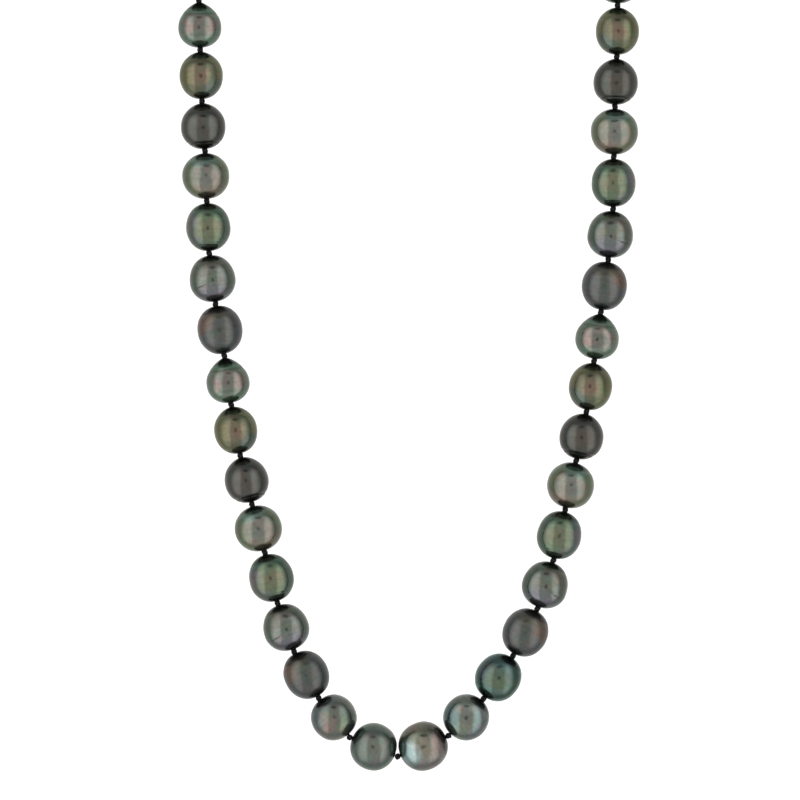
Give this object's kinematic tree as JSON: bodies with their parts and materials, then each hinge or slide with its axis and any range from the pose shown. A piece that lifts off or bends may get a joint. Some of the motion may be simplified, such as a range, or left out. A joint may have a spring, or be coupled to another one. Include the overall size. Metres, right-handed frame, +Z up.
{
  "type": "pearl necklace",
  "caption": "Knotted strand of graded dark baroque pearls on black silk, with bullion end loops, a tag and a lobster clasp, laid open in a U.",
  "frame": {"origin": "on the table, under the middle of the laid-out strand's box", "axes": "+Y from the middle of the strand towards its two open ends, +Z up from the table, +X towards the arm with the clasp"},
  "size_m": [0.0968, 0.2386, 0.01],
  "materials": {
    "nacre_large": "gloss",
    "nacre_round": "gloss",
    "nacre_silver": "gloss",
    "nacre_banded": "gloss",
    "nacre_teal": "gloss",
    "nacre_copper": "gloss",
    "nacre_creased": "gloss",
    "nacre_green": "gloss",
    "nacre_pale": "gloss",
    "nacre_charcoal": "gloss",
    "nacre_olive": "gloss",
    "nacre_drop": "gloss",
    "silk_thread": "satin",
    "gold": "polished",
    "steel": "satin"
  },
  "bodies": {
    "right_01": {"pearl_right_01": "nacre_large"},
    "right_02": {"pearl_right_02": "nacre_banded"},
    "right_03": {"pearl_right_03": "nacre_teal"},
    "right_04": {"pearl_right_04": "nacre_copper"},
    "right_05": {"pearl_right_05": "nacre_creased"},
    "right_06": {"pearl_right_06": "nacre_green"},
    "right_07": {"pearl_right_07": "nacre_pale"},
    "right_08": {"pearl_right_08": "nacre_charcoal"},
    "right_09": {"pearl_right_09": "nacre_olive"},
    "right_10": {"pearl_right_10": "nacre_drop"},
    "right_11": {"pearl_right_11": "nacre_copper"},
    "right_12": {"pearl_right_12": "nacre_creased"},
    "right_13": {"pearl_right_13": "nacre_green"},
    "right_14": {"pearl_right_14": "nacre_pale"},
    "right_15": {"pearl_right_15": "nacre_charcoal"},
    "right_16": {"pearl_right_16": "nacre_olive"},
    "right_17": {"pearl_right_17": "nacre_drop"},
    "right_18": {"pearl_right_18": "nacre_copper"},
    "right_19": {"pearl_right_19": "nacre_creased"},
    "right_20": {"pearl_right_20": "nacre_green"},
    "right_21": {"pearl_right_21": "nacre_pale"},
    "right_22": {"pearl_right_22": "nacre_charcoal"},
    "left_01": {"pearl_left_01": "nacre_round"},
    "left_02": {"pearl_left_02": "nacre_silver"},
    "left_03": {"pearl_left_03": "nacre_copper"},
    "left_04": {"pearl_left_04": "nacre_creased"},
    "left_05": {"pearl_left_05": "nacre_green"},
    "left_06": {"pearl_left_06": "nacre_pale"},
    "left_07": {"pearl_left_07": "nacre_charcoal"},
    "left_08": {"pearl_left_08": "nacre_olive"},
    "left_09": {"pearl_left_09": "nacre_drop"},
    "left_10": {"pearl_left_10": "nacre_copper"},
    "left_11": {"pearl_left_11": "nacre_creased"},
    "left_12": {"pearl_left_12": "nacre_green"},
    "left_13": {"pearl_left_13": "nacre_pale"},
    "left_14": {"pearl_left_14": "nacre_charcoal"},
    "left_15": {"pearl_left_15": "nacre_olive"},
    "left_16": {"pearl_left_16": "nacre_drop"},
    "left_17": {"pearl_left_17": "nacre_copper"},
    "left_18": {"pearl_left_18": "nacre_creased"},
    "left_19": {"pearl_left_19": "nacre_green"},
    "left_20": {"pearl_left_20": "nacre_pale"},
    "left_21": {"pearl_left_21": "nacre_charcoal"},
    "end_left": {"thread_loop_left": "silk_thread", "bullion_left": "gold"},
    "tag": {"clasp_tag": "gold"},
    "end_right": {"thread_loop_right": "silk_thread", "bullion_right": "gold"},
    "ring_right": {"jump_ring": "gold"},
    "clasp": {"clasp_body": "gold", "clasp_pin": "gold", "clasp_spring": "steel"},
    "lever": {"clasp_lever": "gold"}
  },
  "joints": [
    {"name": "swing_middle", "type": "hinge", "parent": "right_01", "child": "left_01", "pos_m": [-0.00215, -0.11635, 0.00509], "axis": [0, 0, 1], "range_deg": [0, 40]},
    {"name": "lift_right_01", "type": "hinge", "parent": "right_01", "child": "right_02", "pos_m": [0.00824, -0.11216, 0.00496], "axis": [0.5628, -0.8266, 0], "range_deg": [-36, 37]},
    {"name": "swing_right_02", "type": "hinge", "parent": "right_02", "child": "right_03", "pos_m": [0.0154, -0.10462, 0.00477], "axis": [0, 0, 1], "range_deg": [-40, 21]},
    {"name": "lift_right_03", "type": "hinge", "parent": "right_03", "child": "right_04", "pos_m": [0.02143, -0.09584, 0.00475], "axis": [-0.8572, 0.515, 0], "range_deg": [-40, 40]},
    {"name": "swing_right_04", "type": "hinge", "parent": "right_04", "child": "right_05", "pos_m": [0.02639, -0.0863, 0.00476], "axis": [0, 0, -1], "range_deg": [-23, 40]},
    {"name": "lift_right_05", "type": "hinge", "parent": "right_05", "child": "right_06", "pos_m": [0.02961, -0.07639, 0.00474], "axis": [0.9636, -0.2672, 0], "range_deg": [-40, 40]},
    {"name": "swing_right_06", "type": "hinge", "parent": "right_06", "child": "right_07", "pos_m": [0.03201, -0.06602, 0.00483], "axis": [0, 0, 1], "range_deg": [-40, 25]},
    {"name": "lift_right_07", "type": "hinge", "parent": "right_07", "child": "right_08", "pos_m": [0.0343, -0.05608, 0.00485], "axis": [-0.9763, 0.2164, 0], "range_deg": [-40, 40]},
    {"name": "swing_right_08", "type": "hinge", "parent": "right_08", "child": "right_09", "pos_m": [0.03642, -0.0461, 0.00466], "axis": [0, 0, -1], "range_deg": [-29, 40]},
    {"name": "lift_right_09", "type": "hinge", "parent": "right_09", "child": "right_10", "pos_m": [0.03797, -0.03572, 0.0046], "axis": [0.9903, -0.1392, 0], "range_deg": [-40, 40]},
    {"name": "swing_right_10", "type": "hinge", "parent": "right_10", "child": "right_11", "pos_m": [0.03929, -0.02571, 0.00465], "axis": [0, 0, 1], "range_deg": [-40, 34]},
    {"name": "lift_right_11", "type": "hinge", "parent": "right_11", "child": "right_12", "pos_m": [0.04079, -0.01506, 0.00476], "axis": [-0.9931, 0.1175, 0], "range_deg": [-40, 40]},
    {"name": "swing_right_12", "type": "hinge", "parent": "right_12", "child": "right_13", "pos_m": [0.04179, -0.00469, 0.00474], "axis": [0, 0, -1], "range_deg": [-40, 40]},
    {"name": "lift_right_13", "type": "hinge", "parent": "right_13", "child": "right_14", "pos_m": [0.04197, 0.00596, 0.00483], "axis": [0.9998, -0.0175, 0], "range_deg": [-40, 40]},
    {"name": "swing_right_14", "type": "hinge", "parent": "right_14", "child": "right_15", "pos_m": [0.04215, 0.01616, 0.00485], "axis": [0, 0, 1], "range_deg": [-40, 40]},
    {"name": "lift_right_15", "type": "hinge", "parent": "right_15", "child": "right_16", "pos_m": [0.0426, 0.02635, 0.00466], "axis": [-0.9995, 0.0305, 0], "range_deg": [-40, 40]},
    {"name": "swing_right_16", "type": "hinge", "parent": "right_16", "child": "right_17", "pos_m": [0.04278, 0.03684, 0.0046], "axis": [0, 0, -1], "range_deg": [-40, 40]},
    {"name": "lift_right_17", "type": "hinge", "parent": "right_17", "child": "right_18", "pos_m": [0.04296, 0.04694, 0.00465], "axis": [0.9998, -0.0175, 0], "range_deg": [-40, 40]},
    {"name": "swing_right_18", "type": "hinge", "parent": "right_18", "child": "right_19", "pos_m": [0.04314, 0.05769, 0.00476], "axis": [0, 0, 1], "range_deg": [-40, 40]},
    {"name": "lift_right_19", "type": "hinge", "parent": "right_19", "child": "right_20", "pos_m": [0.04332, 0.06811, 0.00474], "axis": [-0.9998, 0.0175, 0], "range_deg": [-40, 40]},
    {"name": "swing_right_20", "type": "hinge", "parent": "right_20", "child": "right_21", "pos_m": [0.04351, 0.07876, 0.00483], "axis": [0, 0, -1], "range_deg": [-40, 40]},
    {"name": "lift_right_21", "type": "hinge", "parent": "right_21", "child": "right_22", "pos_m": [0.04369, 0.08896, 0.00485], "axis": [0.9998, -0.0175, 0], "range_deg": [-40, 40]},
    {"name": "lift_left_01", "type": "hinge", "parent": "left_01", "child": "left_02", "pos_m": [-0.01193, -0.1124, 0.00496], "axis": [0.5983, 0.8013, 0], "range_deg": [-31, 32]},
    {"name": "swing_left_02", "type": "hinge", "parent": "left_02", "child": "left_03", "pos_m": [-0.01824, -0.10446, 0.00481], "axis": [0, 0, -1], "range_deg": [-40, 22]},
    {"name": "lift_left_03", "type": "hinge", "parent": "left_03", "child": "left_04", "pos_m": [-0.02329, -0.09497, 0.00476], "axis": [-0.9188, -0.3947, 0], "range_deg": [-40, 40]},
    {"name": "swing_left_04", "type": "hinge", "parent": "left_04", "child": "left_05", "pos_m": [-0.0266, -0.08509, 0.00474], "axis": [0, 0, 1], "range_deg": [-25, 40]},
    {"name": "lift_left_05", "type": "hinge", "parent": "left_05", "child": "left_06", "pos_m": [-0.02926, -0.07478, 0.00483], "axis": [0.9681, 0.2504, 0], "range_deg": [-40, 40]},
    {"name": "swing_left_06", "type": "hinge", "parent": "left_06", "child": "left_07", "pos_m": [-0.03182, -0.0649, 0.00485], "axis": [0, 0, -1], "range_deg": [-40, 28]},
    {"name": "lift_left_07", "type": "hinge", "parent": "left_07", "child": "left_08", "pos_m": [-0.0342, -0.05498, 0.00466], "axis": [-0.9781, -0.2079, 0], "range_deg": [-40, 40]},
    {"name": "swing_left_08", "type": "hinge", "parent": "left_08", "child": "left_09", "pos_m": [-0.03611, -0.04466, 0.0046], "axis": [0, 0, 1], "range_deg": [-33, 40]},
    {"name": "lift_left_09", "type": "hinge", "parent": "left_09", "child": "left_10", "pos_m": [-0.03752, -0.03466, 0.00465], "axis": [0.9884, 0.1521, 0], "range_deg": [-40, 40]},
    {"name": "swing_left_10", "type": "hinge", "parent": "left_10", "child": "left_11", "pos_m": [-0.03929, -0.02406, 0.00476], "axis": [0, 0, -1], "range_deg": [-40, 40]},
    {"name": "lift_left_11", "type": "hinge", "parent": "left_11", "child": "left_12", "pos_m": [-0.04056, -0.01371, 0.00474], "axis": [-0.9966, -0.0828, 0], "range_deg": [-40, 40]},
    {"name": "swing_left_12", "type": "hinge", "parent": "left_12", "child": "left_13", "pos_m": [-0.04103, -0.00308, 0.00483], "axis": [0, 0, 1], "range_deg": [-40, 40]},
    {"name": "lift_left_13", "type": "hinge", "parent": "left_13", "child": "left_14", "pos_m": [-0.04147, 0.00711, 0.00485], "axis": [0.9986, 0.0523, 0], "range_deg": [-40, 40]},
    {"name": "swing_left_14", "type": "hinge", "parent": "left_14", "child": "left_15", "pos_m": [-0.04209, 0.01729, 0.00466], "axis": [0, 0, -1], "range_deg": [-40, 40]},
    {"name": "lift_left_15", "type": "hinge", "parent": "left_15", "child": "left_16", "pos_m": [-0.04237, 0.02779, 0.0046], "axis": [-0.9997, -0.0262, 0], "range_deg": [-40, 40]},
    {"name": "swing_left_16", "type": "hinge", "parent": "left_16", "child": "left_17", "pos_m": [-0.04263, 0.03789, 0.00465], "axis": [0, 0, 1], "range_deg": [-40, 40]},
    {"name": "lift_left_17", "type": "hinge", "parent": "left_17", "child": "left_18", "pos_m": [-0.04291, 0.04863, 0.00476], "axis": [0.9997, 0.0262, 0], "range_deg": [-40, 40]},
    {"name": "swing_left_18", "type": "hinge", "parent": "left_18", "child": "left_19", "pos_m": [-0.04319, 0.05905, 0.00474], "axis": [0, 0, -1], "range_deg": [-40, 40]},
    {"name": "lift_left_19", "type": "hinge", "parent": "left_19", "child": "left_20", "pos_m": [-0.04347, 0.0697, 0.00483], "axis": [-0.9997, -0.0262, 0], "range_deg": [-40, 40]},
    {"name": "swing_left_20", "type": "hinge", "parent": "left_20", "child": "left_21", "pos_m": [-0.04373, 0.07989, 0.00485], "axis": [0, 0, 1], "range_deg": [-40, 40]},
    {"name": "loop_left", "type": "hinge", "parent": "left_21", "child": "end_left", "pos_m": [-0.044, 0.09009, 0.00471], "axis": [-0.9997, -0.0262, 0], "range_deg": [-60, 25]},
    {"name": "loop_right", "type": "hinge", "parent": "right_22", "child": "end_right", "pos_m": [0.04387, 0.09915, 0.00471], "axis": [-0.9998, 0.0175, 0], "range_deg": [-60, 55]},
    {"name": "tag_swing", "type": "hinge", "parent": "end_left", "child": "tag", "pos_m": [-0.04408, 0.09303, 0.00301], "axis": [-0.9997, -0.0262, 0], "range_deg": [-70, 70]},
    {"name": "jump_ring_swing", "type": "hinge", "parent": "end_right", "child": "ring_right", "pos_m": [0.04392, 0.10228, 0.00337], "axis": [0.0069, 0.3924, 0.9198], "range_deg": [-35, 35]},
    {"name": "clasp_turn", "type": "hinge", "parent": "ring_right", "child": "clasp", "pos_m": [0.04396, 0.10421, 0.00255], "axis": [-0.9998, 0.0175, 0], "range_deg": [-85, 70]},
    {"name": "lever_open", "type": "hinge", "parent": "clasp", "child": "lever", "pos_m": [0.04291, 0.11025, 0.00183], "axis": [-0.0008, -0.0451, -0.999], "range_deg": [0, 18], "stiffness_Nm_per_rad": 0.002, "springref_deg": -5.73, "deforming": ["clasp_spring"]}
  ]
}
